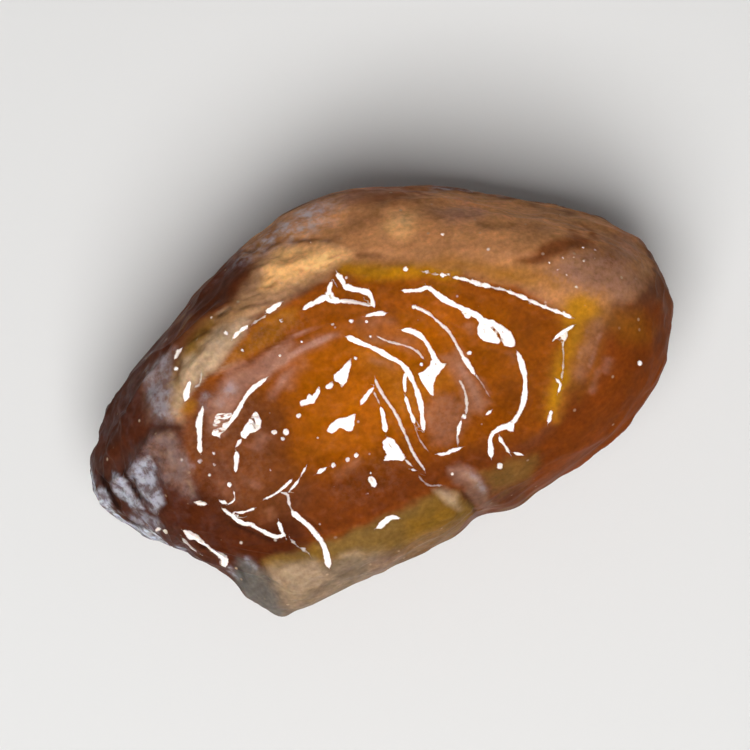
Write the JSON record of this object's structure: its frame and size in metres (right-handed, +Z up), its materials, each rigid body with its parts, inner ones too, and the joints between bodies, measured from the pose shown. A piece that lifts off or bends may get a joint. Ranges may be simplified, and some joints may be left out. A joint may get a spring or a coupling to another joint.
{
  "type": "date",
  "caption": "Ripe whole date fruit lying on its side, its broad upper cheek sunken flat, with a stem scar at one end and a blunt tip at the other.",
  "frame": {"origin": "bottom centre of the fruit's box, on the surface that it rests on", "axes": "+X along the fruit towards its blunt tip, with the stem end at -X; +Z up, out of the flattened cheek; +Y towards the back shoulder"},
  "size_m": [0.0444, 0.0268, 0.0201],
  "materials": {
    "date_skin": "wrinkled amber-brown skin, glossy and sticky, with tan loose folds and pale bloom"
  },
  "bodies": {
    "root": {"date": "date_skin"}
  },
  "joints": []
}
